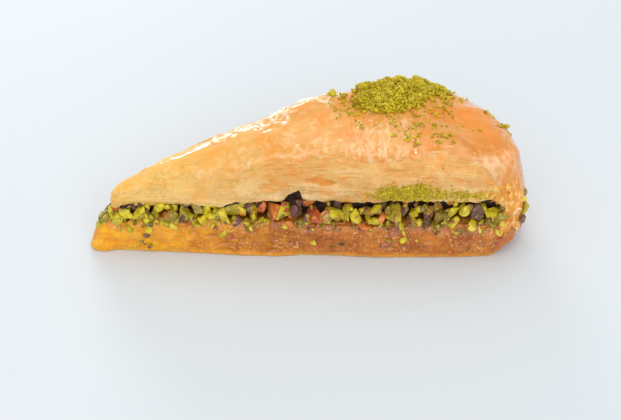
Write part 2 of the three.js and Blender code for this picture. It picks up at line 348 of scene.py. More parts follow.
def top_leaves(top):
    """The cut face of the crisp stack, closed above inside the glossy sheet."""
    wall = top.shoulder + 2.5
    rows = 112
    up = np.linspace(0, 1, rows)[:, None] * wall
    base = top.at(up)
    normals = grid_normals(base)
    x = place_along(base) / LENGTH
    front = (normals[..., 1] < -0.7) & (x < 0.95)
    ragged = waves(base[:1], (0.7, (9, 9, 50), 11), (0.6, (2.6, 2.6, 50), 12), (0.45, (1.1, 1.1, 50), 14))
    height = base[..., 2] - base[:1, :, 2]
    gap = np.clip((x - NOTCH_AT) / 0.042, 0, 1) * smoothstep(x, NOTCH_AT + 0.052, NOTCH_AT + 0.041)
    notch = gap * (4.6 + 2.5 * noise(base[:1], (1.8, 1.8, 50), 13)) * front
    lift = ((ragged + notch - 0.4) * (1 - 0.8 * top.rim) - tip_droop(base[:1])) * np.exp(-height / 3.5)
    base = base + SKY * lift[..., None]
    z = base[..., 2]
    # The creases between leaves, and the hidden rings under the stack, are darkened in the material as
    # painted shade.
    relief, tone, crease_shade = leaf_lines(base, 0.86, 0.18, 21)
    slant = z - POCKET_HEIGHT + 60 * (x - POCKET_AT) * 0.35
    gape = np.abs(x - POCKET_AT) / 0.037 + np.abs(slant) / (2.1 + 0.6 * ragged)
    gape = gape + 0.35 * noise(base, (2.2, 2.2, 1.1), 15)
    pocket = smoothstep(gape, 1.1, 0.7) * front
    relief = relief * (1 - 0.75 * top.rim) - 2.6 * pocket - 0.5 * smoothstep(height, 1.4, 0.0) * (1 - top.rim)
    lean = waves(base, (0.7, (24, 24, 14), 31), (0.3, (9, 9, 5), 32), (0.3, (4, 4, 11), 33))
    outer = base + normals * (relief + lean * (1 - top.rim) - 0.3)[..., None]
    inner = outer[:1] - normals[:1] * LEVEL * 5.0 + SKY * 0.5
    lip = outer[:1] - normals[:1] * LEVEL * 0.6 - SKY * 0.05
    lid = outer[-1:] - normals[-1:] * 2.0
    rings = np.concatenate([inner, lip, outer, lid])
    dust = np.exp(-((z - DUST_HEIGHT) / 2.0) ** 2) * smoothstep(x, 0.6, 0.68)
    dust = dust * smoothstep(x, 0.95, 0.9) * front
    dust = dust * np.clip(0.7 + 0.8 * noise(base, (4, 4, 2), 16) + 0.4 * noise(base, 1.3, 17), 0, 1)
    attributes = {
        key: padded(values, base, 2, 1, end) for key, values, end in (
            ("dust", dust, 0.0), ("tone", tone, 0.3), ("crease_shade", crease_shade, 0.9),
            ("pocket", pocket, 0.3), ("rise", up / wall, 0.0), ("rim", top.rim, 0.0),
        )
    }
    return mesh_object("top_leaves", rings.reshape(-1, 3), ring_faces(rings), attributes), outer


def hem_line(top):
    """How far up the wall the glossy sheet ends, for each station."""
    edge = top.at(np.zeros((1, STATIONS)))[0]
    x = place_along(edge) / LENGTH
    front = top.normals[8][:, 1] < -0.5
    drape = np.where(front, lerp(0.72, 0.1, smoothstep(x, 0.16, 0.58)), 0.3)
    drape = np.maximum(drape, 0.97 * smoothstep(x, 0.86, 0.945))
    flat = edge * LEVEL
    uneven = waves(flat, (0.2, 15, 41), (0.09, 4.5, 42), (0.04, 1.7, 43))
    fraction = 1 - drape + uneven * (0.8 + 0.5 * drape) * (1 - smoothstep(drape, 0.75, 0.97))
    fraction = lerp(fraction, 0.04 + 0.06 * noise(flat, 3, 44), top.rim)
    fraction = blur(np.clip(fraction, 0.03, 0.97)[None], 2.0, 1, True)[0]
    return top.shoulder * fraction


# Bubbles of the sheet that fell in as it baked lie along its brow, from one of these places to the other.
# Each place is a share of the length and a share of the width.
BROW_FROM = np.array((0.30, 0.25))
BROW_TO = np.array((0.55, 0.58))
BUBBLES = 12


def fallen_bubbles():
    """The middle, radius and rim width of each fallen bubble, scattered along the brow."""
    rng = np.random.default_rng(53)
    for k in range(BUBBLES):
        place = lerp(BROW_FROM, BROW_TO, (k + rng.random()) / BUBBLES) + rng.normal(size=2) * (0.006, 0.04)
        yield LOW[:2] + SPAN[:2] * place, rng.uniform(1.0, 2.7), rng.uniform(0.35, 0.6)


def raised_rings(points):
    """Crests, 0 to 1, of the rings that fallen bubbles leave."""
    warped = points + noise(points, 2.2, 54)[..., None] * (0.9, -0.9, 0)
    total = np.zeros(points.shape[:-1])
    for middle, radius, width in fallen_bubbles():
        away = (warped[..., :2] - middle) * (1.0, 1.15)
        rim = np.exp(-((np.linalg.norm(away, axis=-1) - radius) / width) ** 2)
        total = np.maximum(total, rim * smoothstep(points[..., 2], 30, 32))
    return total * (0.75 + 0.45 * noise(points, 1.7, 55))


def raised_strokes(points, normals, mask, count, lengths, width, lean, sway, seed):
    """Crests, 0 to 1, of short wavy wrinkles that run down the surface where the mask holds."""
    rng = np.random.default_rng(seed)
    spots, facing = points[mask], normals[mask]
    warped = points + 0.6 * noise(points, 2.6, seed + 1)[..., None] * (1, 0.6, 0)
    total = np.zeros(points.shape[:-1])
    for _ in range(count):
        pick = rng.integers(len(spots))
        centre, normal = spots[pick], facing[pick]
        reach = rng.uniform(*lengths) / 2
        run = np.array((rng.normal() * sway, rng.normal() * 0.25 - lean, -0.7))
        run = unit(run - normal * (run @ normal))
        away = warped - centre
        along = np.clip(away @ run, -reach, reach)
        gap = np.linalg.norm(away - along[..., None] * run, axis=-1)
        crest = np.exp(-(gap / (width * (1 - 0.5 * np.abs(along) / reach))) ** 2)
        total = np.maximum(total, crest * rng.uniform(0.35, 1.0))
    return total


def top_sheet(top):
    """The glossy upper leaves: a blistered skin over the top that hangs down to an uneven hem."""
    hem = hem_line(top)
    rows = 104
    t = np.linspace(0, 1, rows)[:, None]
    up = lerp(hem, top.length * 0.985, t ** 1.1)
    base = top.at(up)
    normals = grid_normals(base)
    tilt = normals[..., 2]
    z = base[..., 2]
    x = place_along(base) / LENGTH
    over = smoothstep(tilt, 0.2, 0.9)  # 0 on the walls, 1 on the flat of the top
    hang = up - hem
    front = normals[..., 1] < -0.05
    broad = waves(base, (0.4, 18, 51), (0.2, 8, 52))
    bubbles = raised_rings(base)
    uneven = x + 0.03 * noise(base, (8, 4, 8), 18)
    chest = (base[..., 1] < LOW[1] + 18) & (tilt > 0.25) & (uneven > 0.578) & (uneven < 0.735)
    cheek = front & (tilt < 0.9) & (x > 0.04) & (x < 0.55)
    corner = front & (z < 40) & (x > 0.87)
    wall = (tilt < 0.8) & (top.rim > 0.5)
    strokes = raised_strokes(base, normals, chest, 95, (1.5, 6.0), 0.32, 0.9, 0.25, 54)
    for mask, count, lengths, width, lean, sway in (
        (cheek, 70, (1.2, 5.0), 0.55, 0.5, 0.9),
        (corner, 40, (2.0, 7.0), 0.4, 0.9, 0.6),
        (wall, 75, (2.0, 9.0), 0.6, 0.0, 0.3),
    ):
        more = raised_strokes(base, normals, mask, count, lengths, width, lean, sway, 65 + count)
        strokes = np.maximum(strokes, 0.75 * more)
    tucks = ridges(base, (2.4, 7.5, 7.5), 55) * smoothstep(noise(base, 13, 56), -0.05, 0.4)
    tucks = tucks * smoothstep(tilt, 0.99, 0.8)
    run = noise(base, (14, 14, 2.6), 60)  # edges of the leaves below show through as faint steps
    steps = ridges(base + SKY * (1.2 * run)[..., None], (26, 26, 3.2), 61) * (1 - over)
    pleats = noise(base, (3.4, 3.4, 13), 57) * (1 - over) * (0.35 + 0.65 * smoothstep(x, 0.5, 0.25))
    folds = ridges(base + 1.4 * noise(base, 5.0, 67)[..., None], (9, 4.2, 15), 62) * top.rim * (1 - over)
    ridge = np.exp(-((x - 0.91) / 0.045) ** 2) * front
    ridge = ridge * smoothstep(z, 35.5, 38) * smoothstep(z, 45, 42)
    knots = ridge * (ridges(base, (5, 2.4, 2.4), 63) + 0.7 * ridges(base, (2.2, 3, 3), 66))
    cleft = (base[..., 0] - LOW[0] - 0.85 * LENGTH) * 0.72 + (base[..., 1] - LOW[1] - 8.5) * 0.7
    crack = np.exp(-(cleft / 0.8) ** 2) * smoothstep(np.abs(x - 0.85), 0.035, 0.01) * front * over
    relief = broad * (0.4 + 0.6 * over) + 0.6 * bubbles + 0.34 * strokes + 0.2 * tucks
    brow_swell = 1.6 * np.exp(-((x - 0.51) / 0.085) ** 2) * smoothstep(normals[..., 1], 0.02, 0.2)
    relief = relief + brow_swell * smoothstep(tilt, 0.2, 0.7) + 0.4 * pleats + 0.5 * folds
    relief = relief + (0.22 + 0.14 * top.rim) * steps + 0.7 * knots - 0.9 * crack
    shoulder = smoothstep(tilt, 0.2, 0.5) * smoothstep(tilt, 0.97, 0.8) * (x > 0.5)
    crumple = waves(base, (0.35, (1.8, 3.4, 3.4), 68), (0.4, (4.2, 4.2, 4.2), 69))
    relief = relief + shoulder * crumple
    fine = waves(base, (0.06, 2.2, 58), (0.03, 1.0, 59))
    fray = 0.12 * smoothstep(hang, 1.0, 0) * (0.3 + noise(base, (6, 6, 30), 64)) * (1 - top.rim)
    sunk = 0.35 * smoothstep(hang, 2.5, 0.0) * (1 - top.rim)
    outer = base + normals * (0.1 - sunk + relief + fine + fray)[..., None]
    under = outer[:1] - normals[:1] * 0.3
    tucked = under - normals[:1] * LEVEL * 1.6 + SKY * 0.3
    lid = tucked - normals[:1] * LEVEL * 2.0 + SKY * 1.0
    # A ring close above the hem keeps the shading of its underside off the face.
    firmed = lambda grid: np.concatenate([grid[:1], lerp(grid[:1], grid[1:2], 0.12), grid[1:]])
    rings = np.concatenate([lid, tucked, under, firmed(outer)])
    attributes = {
        key: padded(firmed(values + 0 * x), firmed(outer), 3, 0, end) for key, values, end in (
            ("tone", np.clip(0.5 + 0.5 * run + 0.3 * steps, 0, 1), 0.5),
            # Cracks and the troughs of pleats, darkened in the material as painted shade.
            ("crease_shade", np.clip(crack + 0.25 * np.clip(-pleats, 0, 1), 0, 1), 0.0),
            ("rise", up / (top.shoulder + 2.5), 0.0),
            ("rim", top.rim, 0.0),
            ("over", np.maximum(over, 0.55 * smoothstep(hang, 0, 5)), 0.0),
            # Crests of wrinkles, tucks and knots, painted paler in the material as highlight.
            ("crest", np.clip(strokes + 0.4 * tucks + knots, 0, 1), 0.0),
            # Rims of fallen bubbles, painted near white in the material as highlight.
            ("painted_ring_highlight", bubbles, 0.0),
        )
    }
    return mesh_object("top_sheet", rings.reshape(-1, 3), ring_faces(rings), attributes)


# ---------------------------------------------------------------- the soaked stack

def soaked_stack(low):
    """The dense lower stack: soft, syrup-soaked leaves that only just show, on a flat underside."""
    rows = 100
    wall = low.shoulder
    up = np.linspace(0, 1, rows)[:, None] * (wall + 3.4)
    base = low.at(up)
    normals = grid_normals(base)
    x = place_along(base) / LENGTH
    height = base[..., 2]
    relief, _, _ = leaf_lines(base, 1.1, 0.03, 71)
    tone = 0.5 + 0.5 * noise(base, (8, 8, 5), 70)
    swell = waves(base, (0.5, (15, 15, 8), 72), (0.5, (6, 6, 4), 73), (0.45, 2.6, 74))
    grainy = waves(base, (0.3, 1.5, 75), (0.1, 0.75, 76))
    torn = 0.55 * ridges(base, 3.4, 77) * smoothstep(noise(base, 8, 80), -0.1, 0.4)
    slump = 1.5 * smoothstep(height, 11.0, 15.5) * (1 + 0.8 * noise(base, (7, 7, 40), 78)) * (1 - low.rim)
    tip = smoothstep(x, 0.06, 0.0)
    foot = np.exp(-(height / 1.7) ** 2) * np.clip(0.5 + 1.5 * noise(base, (22, 22, 60), 79), 0, 1.3)
    belly = 2.0 * tip * np.exp(-(np.clip(height - 3.5, 0, None) / 5.5) ** 2)
    settled = smoothstep(height, 0.0, 0.8)
    push = (relief + swell + grainy - torn) * settled - slump - 0.25 + 0.9 * foot * (1 - low.rim) + belly
    outer = base + normals * LEVEL * push[..., None]
    outer = outer - SKY * (0.5 * slump * smoothstep(normals[..., 2], 0.2, 0.9))[..., None]
    outer = outer - SKY * (tip_slump(base) * smoothstep(height, 5.0, 15.0))[..., None]
    outer[..., 2] = np.maximum(outer[..., 2], 0.0)
    sole = outer[:1] * LEVEL - normals[:1] * LEVEL * 0.7
    inner = sole - normals[:1] * LEVEL * 3.0
    lid = outer[-1:] - unit(normals[-1:] * LEVEL) * 1.5 - SKY * 0.4
    rings = np.concatenate([inner, sole, outer, lid])
    # The torn dips are darkened in the material as painted shade.
    looks = {"tone": tone, "crease_shade": torn, "rim": low.rim, "rise": height / 16}
    attributes = {key: padded(values, base, 2, 1, 0.3) for key, values in looks.items()}
    return mesh_object("bottom_leaves", rings.reshape(-1, 3), ring_faces(rings), attributes)


# ---------------------------------------------------------------- chopped nuts

def icosphere(subdivisions):
    shell = bmesh.new()
    bmesh.ops.create_icosphere(shell, subdivisions=subdivisions, radius=1)
    points = np.array([v.co for v in shell.verts])
    faces = np.array([[v.index for v in f.verts] for f in shell.faces])
    shell.free()
    return points, faces


BALLS = {level: icosphere(level) for level in (1, 2, 3, 4)}


def turned(points, rng):
    """Points after a random turn."""
    w, x, y, z = unit(rng.normal(size=4))
    matrix = np.array((
        (1 - 2 * (y * y + z * z), 2 * (x * y - z * w), 2 * (x * z + y * w)),
        (2 * (x * y + z * w), 1 - 2 * (x * x + z * z), 2 * (y * z - x * w)),
        (2 * (x * z - y * w), 2 * (y * z + x * w), 1 - 2 * (x * x + y * y)),
    ))
    return points @ matrix.T


def chunk(rng, size, detail, planes=7, stretch=(1.4, 1.0, 0.72)):
    """A chopped bit of nut: flat broken faces with worn edges, and some of the nut's round outside.

    Returns its points and which of them are on that round outside, where the skin is.
    """
    directions = BALLS[detail][0]
    normals = unit(rng.normal(size=(planes, 3)))
    reach = np.clip(directions @ normals.T, 0, None) / rng.uniform(0.42, 0.9, planes)
    worn = 42.0
    round_side = 1 / 1.05
    radius = ((reach ** worn).sum(axis=1) + round_side ** worn) ** (-1 / worn)
    outside = smoothstep(reach.max(axis=1), 0.97, 0.86)
    points = directions * radius[:, None]
    points = points * (1 + 0.05 * noise(points, 0.4, int(rng.integers(1000))))[:, None]
    points = points * np.array(stretch) * rng.uniform(0.85, 1.15, 3)
    return turned(points, rng) * size / 2, outside


def kept_in(points):
    """Points of a loose bit, moved in as a whole so that it hardly stands out past the CAD's box."""
    over = np.clip(points.max(axis=0) - HIGH - PROUD, 0, None) * LEVEL
    under = np.clip(LOW - PROUD * LEVEL - points.min(axis=0), 0, None)
    return points + under - over


def chunk_piece(name, items):
    """Joins chunks into one piece. Each item is (centre, points, skin, tone, detail)."""
    faces, start = [], 0
    for _, shape, _, _, detail in items:
        faces += (BALLS[detail][1] + start).tolist()
        start += len(shape)
    attributes = {
        "skin": np.concatenate([item[2] for item in items]),
        "tone": np.concatenate([np.full(len(item[1]), item[3]) for item in items]),
    }
    points = np.concatenate([kept_in(centre + shape) for centre, shape, *_ in items])
    return mesh_object(name, points, faces, attributes, smooth=False)


class Band:
    """The layer of nuts between the stacks: its lower edge, upper edge and outward direction all round."""

    def __init__(self, low, top):
        self.ledge = low.at(low.shoulder[None] + 0.2)[0]
        self.ledge = self.ledge - SKY * tip_slump(self.ledge)[:, None]
        under = top.at(np.zeros((1, STATIONS)))[0]
        under = under - SKY * tip_droop(under)[:, None]
        gap = np.linalg.norm(self.ledge[:, None, :2] - under[None, :, :2], axis=2)
        nearest = np.argmin(gap, axis=1)
        self.upper = under[nearest]
        self.push = unit(top.normals[3] * LEVEL)[nearest]
        self.rim = low.rim
        self.travelled = low.around
        self.along = place_along(self.ledge) / LENGTH

    def station(self, place):
        return min(int(np.searchsorted(self.travelled, place)), STATIONS - 1)


def nut_core(band):
    """The inside of the layer, set back behind the nuts that show and coloured near black as painted shade in
    the gaps between them.
    """
    rows = 22
    t = np.linspace(0, 1, rows)[:, None, None]
    set_back = lerp(4.6, 3.6, band.rim)[:, None]
    foot = np.concatenate([band.upper[:, :2], band.ledge[:, 2:] - 0.6], axis=1) - band.push * set_back
    head = band.upper + SKY * 1.6 - band.push * set_back
    grid = lerp(foot, head, t)
    rough = waves(grid, (0.7, 3.2, 81), (0.4, 1.5, 82))
    grid = grid + band.push * rough[..., None]
    rings = np.concatenate([grid[:1] - band.push * 2.0, grid, grid[-1:] - band.push * 2.0])
    tone = 0.5 + 0.5 * noise(rings, 2.2, 83)
    return mesh_object("nut_core", rings.reshape(-1, 3), ring_faces(rings), {"tone": tone})


# Rows of chopped nuts: spacing, sizes and how far out they sit (mm), how high (share of the layer), detail.
NUT_ROWS = (
    (4.6, (4.2, 6.8), (-2.1, -0.4), (0.25, 0.60), 4),
    (4.0, (3.0, 4.6), (-3.7, -1.9), (0.15, 1.0), 3),
    (3.0, (2.6, 4.4), (-1.4, 0.3), (-0.1, 0.3), 3),
    (3.0, (1.4, 2.6), (-1.8, 0.0), (0.0, 1.0), 3),
    (2.4, (0.9, 1.8), (-0.6, 0.6), (-0.25, 0.2), 2),
)
KINDS = ("green", "skin", "red")
# Bits outside the rim's near corner: how far back from the front (mm), how high, how big, and of which kind.
CORNER_BITS = (
    (9.0, 12.8, 4.8, "skin"), (8.0, 18.4, 4.2, "green"), (9.5, 21.6, 2.6, "green"),
    (10.5, 20.2, 2.0, "skin"), (7.0, 9.4, 1.8, "skin"), (12.0, 23.0, 1.8, "green"),
)

SPILT_BITS = 95  # tries at a bit of nut on the ledge of each cut
STUCK_BITS = {1: 10, -1: 30}  # bits on the soaked stack's front and back cut
BIT_CLUSTERS = 5
CLUSTER_BITS = 4


def base_bits():
    """Bits of nut in small clusters on the front of the soaked stack: share along, height, size and kind."""
    rng = np.random.default_rng(92)
    for cluster in range(BIT_CLUSTERS):
        middle, height = (cluster + rng.uniform(0.3, 0.9)) / BIT_CLUSTERS, rng.uniform(4.0, 11.0)
        for _ in range(CLUSTER_BITS):
            share = min(max(middle + rng.normal() * 0.02, 0.05), 0.93)
            z = min(max(height + rng.normal() * 2.2, 2.0), 12.5)
            yield share, z, rng.uniform(1.8, 3.8), rng.choice(KINDS, p=(0.6, 0.1, 0.3))


def chopped_nuts(band, base, crust):
    """Chopped pistachios between the stacks all along the cuts, spilt over the ledge, and on the base."""
    rng = np.random.default_rng(91)
    kinds = {kind: [] for kind in KINDS}
    total = band.travelled[-1]

    def add(centre, size, detail, odds, bare=0.55, kind=None):
        shape, outside = chunk(rng, size, detail)
        skin = outside * (rng.random() > bare)
        kinds[kind or rng.choice(KINDS, p=odds)].append((centre, shape, skin, rng.random(), detail))

    for spacing, sizes, outs, ups, detail in NUT_ROWS:
        place = rng.uniform(0, spacing)
        while place < total:
            i = band.station(place)
            place += spacing * rng.uniform(0.6, 1.4)
            if band.rim[i] > 0.45:
                continue
            room = max(band.upper[i, 2] - band.ledge[i, 2], 1.5)
            size = min(rng.uniform(*sizes), 0.7 * room + 1.4)
            share = rng.uniform(*ups)
            edge = lerp(band.ledge[i], band.upper[i], min(max(share * 1.4, 0), 1))
            height = band.ledge[i, 2] + share * room
            centre = np.array((edge[0], edge[1], height)) + band.push[i] * rng.uniform(*outs)
            # Nuts high in the layer, under the crisp stack, are less often green and show more skin, so they
            # come out darker as painted shade; nuts further along the slice lean the same way.
            odd = 0.2 * smoothstep(share, 0.35, 0.8) + 0.25 * smoothstep(band.along[i], 0.2, 0.6)
            add(centre, size, detail, (0.78 - odd, 0.12 + 0.6 * odd, 0.10 + 0.4 * odd), 0.85 - 0.9 * odd)
    tree = tree_of(base)
    for share, z, size, kind in base_bits():
        spot, normal = side_cast([tree], LOW[0] + LENGTH * share, z, (0, 1, 0))
        add(spot - normal * size * 0.15, size, 3, None, 0.85, kind)
    for back, z, size, kind in CORNER_BITS:
        found = side_cast([tree, crust], LOW[1] + back, z, (-1, 0, 0))
        add(found[0] + found[1] * size * 0.15, size, 3, None, 1.0, kind)
    for side in (1, -1):
        for _ in range(SPILT_BITS):
            x = LOW[0] + LENGTH * rng.uniform(0.015, 0.93)
            near_tip = smoothstep(x - LOW[0], 50, 25)
            z = rng.uniform(12.2 - 2.2 * near_tip, 15.6)
            size = rng.uniform(1.4, 2.8 + 1.9 * near_tip)
            found = side_cast([tree], x, z, (0, side, 0))
            if found and rng.random() < lerp(0.32, 1.0, near_tip):
                add(found[0] - found[1] * size * 0.12, size, 3, (0.78, 0.10, 0.12), 0.8)
        for _ in range(STUCK_BITS[side]):
            x = LOW[0] + LENGTH * rng.uniform(0.05, 0.95)
            size = rng.uniform(1.1, 2.7)
            found = side_cast([tree], x, rng.uniform(1.5, 12.0), (0, side, 0))
            if found:
                add(found[0] - found[1] * size * 0.16, size, 3, (0.62, 0.06, 0.32), 0.85)
    return {kind: chunk_piece("nuts_" + kind, items) for kind, items in kinds.items()}


# ---------------------------------------------------------------- the heap and the crumbs

def drop_on(trees, x, y):
    """The highest surface under a point, and its normal."""
    return first_hit(trees, (x, y, ABOVE), (0, 0, -1))


def heap_core(sheet_tree):
    """The middle of the heap of ground nuts: a crumbly mound out to an uneven edge."""
    tree = tree_of(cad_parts["pistachio_heap"])
    low, high = (np.array(c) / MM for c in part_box("pistachio_heap"))
    step = 0.4
    xs = np.arange(low[0] - 1, high[0] + 1, step)
    ys = np.arange(low[1] - 1, high[1] + 1, step)
    tops = np.full((len(xs), len(ys)), np.nan)
    beds = np.full((len(xs), len(ys)), np.nan)
    for a, x in enumerate(xs):
        for b, y in enumerate(ys):
            hit = cast(tree, (x, y, ABOVE), (0, 0, -1))
            bed = drop_on([sheet_tree], x, y)
            if bed is not None:
                beds[a, b] = bed[0][2]
            if hit is not None and bed is not None:
                tops[a, b] = hit[2]
    inside = ~np.isnan(tops)
    full = inside.astype(float)
    for axis in (0, 1):
        full = blur(full, 2.2, axis, False)
    grid_x, grid_y = np.meshgrid(xs, ys, indexing="ij")
    beds = np.where(np.isnan(beds), np.nanmin(beds), beds)
    dome = np.clip(np.where(inside, tops, beds) - beds, 0, None)
    for axis in (0, 1):
        dome = blur(dome, 1.5, axis, False)
    flat = np.stack([grid_x, grid_y, beds * 0], axis=-1)
    thin = smoothstep(grid_x, lerp(low[0], high[0], 0.6), lerp(low[0], high[0], 0.8))
    edge = full + 0.36 * noise(flat, 4.2, 101) + 0.26 * noise(flat, 1.9, 102) - 0.22 * thin
    edge = smoothstep(edge, 0.42, 0.8)
    clumps = waves(flat, (1.1, 3.4, 105), (1.4, 2.0, 103), (0.5, 1.0, 104))
    heights = beds + edge * (0.2 + (1 - 0.6 * thin) * (0.75 * dome + clumps)) - 0.7 * (1 - edge)
    keep = edge > 0.02
    number = np.full(keep.shape, -1)
    number[keep] = np.arange(keep.sum())
    upper = np.stack([grid_x[keep], grid_y[keep], heights[keep]], axis=-1)
    lower = np.stack([grid_x[keep], grid_y[keep], np.minimum(beds[keep] - 1.4, heights[keep] - 0.3)], axis=-1)
    count = len(upper)
    faces, edges = [], {}
    for a in range(keep.shape[0] - 1):
        for b in range(keep.shape[1] - 1):
            quad = [int(number[at]) for at in ((a, b), (a + 1, b), (a + 1, b + 1), (a, b + 1))]
            if min(quad) < 0:
                continue
            faces.append(quad)
            faces.append([v + count for v in reversed(quad)])
            for pair in zip(quad, quad[1:] + quad[:1]):
                if edges.pop(pair[::-1], None) is None:
                    edges[pair] = True
    faces += [[b, a, a + count, b + count] for a, b in edges]
    tone = 0.5 + 0.5 * noise(np.concatenate([upper, lower]), 1.0, 106)
    piece = mesh_object("heap_core", np.concatenate([upper, lower]), faces, {"tone": tone})
    halo = full
    for axis in (0, 1):
        halo = blur(halo, 5.0, axis, False)
    return piece, (grid_x, grid_y, edge + 0.16 * halo)


def grain(rng, place, normal, size, sink, detail):
    """One grain of ground nut that lies on a surface."""
    shape, _ = chunk(rng, size, detail, planes=5, stretch=(1.2, 1.0, 0.85))
    return place + normal * size * (0.4 - sink), shape, np.zeros(len(shape)), rng.random(), detail


def grains_on(rng, trees, spots, sizes, sink, detail=1):
    """Grains on the highest surface under each spot, more of them small than big."""
    items = []
    for x, y in spots:
        found = drop_on(trees, x, y)
        if found is not None:
            size = lerp(*sizes, rng.random() ** 1.8)
            items.append(grain(rng, *found, size, sink, detail))
    return items


HEAP_GRAINS = 7600


def heap_grains(heap, sheet, edge_map):
    """Loose ground nut all over the heap, in clumps, thinning out round it."""
    rng = np.random.default_rng(111)
    trees = [tree_of(heap), tree_of(sheet)]
    grid_x, grid_y, edge = (layer.ravel() for layer in edge_map)
    flat = np.stack([grid_x, grid_y, grid_x * 0], axis=-1)
    chance = (edge + 0.02) * (0.5 + smoothstep(noise(flat, 1.9, 112), -0.4, 0.5))
    picks = rng.choice(len(edge), size=HEAP_GRAINS, p=chance / chance.sum())
    spots = [(grid_x[k] + rng.uniform(-0.3, 0.3), grid_y[k] + rng.uniform(-0.3, 0.3)) for k in picks]
    items = grains_on(rng, trees, spots, (0.45, 1.5), sink=-0.1)
    return chunk_piece("heap_grains", items)


# How many clumps of crumbs lie in each place.
ROUND_HEAP = 64
BELOW_HEAP = 58
ALONG_RIM = 14


def loose_crumbs(sheet):
    """Ground nut that missed the heap: round it, below it on the front, and along the rim's edge."""
    rng = np.random.default_rng(121)
    trees = [tree_of(sheet)]
    low, high = (np.array(c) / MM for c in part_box("pistachio_heap"))
    spots = []

    def clump(x, y, count, spread):
        for _ in range(count):
            spots.append((x + rng.normal() * spread, y + rng.normal() * spread))

    middle = (low + high) / 2
    for _ in range(ROUND_HEAP):
        angle, distance = rng.uniform(0, 2 * math.pi), 0.45 + 0.3 * rng.random()
        a, b = (high - low)[:2] * distance * (math.cos(angle), math.sin(angle))
        clump(middle[0] + a, middle[1] + b + 0.35 * a, int(rng.integers(2, 9)), 0.8)
    for _ in range(BELOW_HEAP):
        clump(middle[0] + rng.normal() * 10 + 4, low[1] - rng.uniform(-2, 15), int(rng.integers(1, 9)), 0.6)
    for _ in range(ALONG_RIM):
        clump(HIGH[0] - rng.uniform(8, 16), HIGH[1] - rng.uniform(18, 34), int(rng.integers(2, 9)), 0.7)
    # Bigger crumbs lie apart from the heap: some before it, and some between it and the rim.
    apart = np.random.default_rng(122)
    strays = [(low[0] - apart.uniform(1, 9), middle[1] + apart.uniform(-6, 5)) for _ in range(3)]
    for _ in range(2):
        strays.append((lerp(high[0], HIGH[0], apart.uniform(0.45, 0.7)), middle[1] - apart.uniform(2, 8)))
    for x, y in strays:
        clump(x, y, 12, 0.7)
    items = grains_on(rng, trees, spots, (0.4, 1.2), sink=0.05)
    items += grains_on(rng, trees, strays, (2.0, 2.6), sink=0.1, detail=2)
    return chunk_piece("loose_crumbs", items)


SIDE_START = 120  # where rays start from when they look level


def side_cast(trees, along, z, direction):
    """The first surface met when looking at the slice level, from its side or from its rim."""
    foot = Vector((along if direction[1] else 0, along if direction[0] else 0, z))
    return first_hit(trees, foot - Vector(direction) * SIDE_START, direction)


# Smears of ground nut on the front cut: where along it, how high, how many grains, and how far they spread.
SMEARS = (
    (0.690, 27.6, 420, 3.2, 1.7),
    (0.740, 28.8, 380, 3.2, 1.6),
    (0.725, 26.4, 300, 5.6, 1.0),
    (0.800, 27.0, 100, 4.5, 1.1),
    (0.860, 27.6, 100, 5.0, 1.2),
    (0.630, 25.8, 24, 4.0, 0.8),
)


HIGH_SPECKS = 22  # on each cut of the crisp stack
LOW_SPECKS = 60  # and on each cut lower down


def stuck_crumbs(leaves, sheet, base):
    """Ground nut smeared on the front cut, and a little scattered over both cuts."""
    rng = np.random.default_rng(131)
    trees = [tree_of(piece) for piece in (leaves, sheet, base)]
    wanted = []
    for share, middle, count, wide, tall in SMEARS:
        for _ in range(count):
            x = LOW[0] + share * LENGTH + rng.normal() * wide
            wanted.append((x, middle + rng.normal() * tall, (0, 1, 0)))
    for side in (1, -1):
        for _ in range(HIGH_SPECKS):
            wanted.append((rng.uniform(LOW[0] + 10, HIGH[0] - 8), rng.uniform(20, 40), (0, side, 0)))
        for _ in range(LOW_SPECKS):
            wanted.append((rng.uniform(LOW[0] + 4, HIGH[0] - 6), rng.uniform(9, 15.5), (0, side, 0)))
    items = []
    for x, z, direction in wanted:
        found = side_cast(trees, x, z, direction)
        if found is not None:
            items.append(grain(rng, *found, lerp(0.4, 1.05, rng.random() ** 1.6), 0.15, 1))
    return chunk_piece("face_crumbs", items)


LOOSE_EDGES = 110


def loose_leaf_edges(surface, rim):
    """Thin loose edges of single leaves lying along the crisp stack's cuts."""
    rng = np.random.default_rng(151)
    normals = grid_normals(surface)
    rows, count = surface.shape[:2]
    points, faces = [], []
    for _ in range(LOOSE_EDGES):
        i, row = int(rng.integers(count)), int(rng.integers(2, rows - 4))
        if rng.random() < rim[i]:
            continue
        steps = int(rng.integers(8, 26))
        width = rng.uniform(0.2, 0.5)
        lift = rng.uniform(0.05, 0.22)
        drift = rng.normal() * 0.05
        start = len(points)
        for k in range(steps + 1):
            t = k / steps
            column = (i + k) % count
            level = np.clip(row + drift * k + 0.8 * math.sin(k * 0.5 + i), 0, rows - 2)
            low, part = int(level), level % 1
            at = lerp(surface[low, column], surface[low + 1, column], part)
            normal = normals[low, column]
            side = SKY - normal * normal[2]
            swell = math.sin(math.pi * min(max(t, 0.03), 0.97)) ** 0.6
            out = at + normal * lift * (0.35 + 0.65 * swell)
            half = width * swell / 2
            points += [at - side * half, out - side * half * 0.6, out + side * half * 0.6, at + side * half]
        faces += tube_faces(start, steps + 1, 4)
    tone = np.repeat(rng.random(len(points) // 4), 4)
    heights = np.array(points)[:, 2]
    attributes = {"tone": tone, "rise": (heights - heights.min()) / np.ptp(heights)}
    return mesh_object("loose_leaf_edges", np.array(points), faces, attributes)


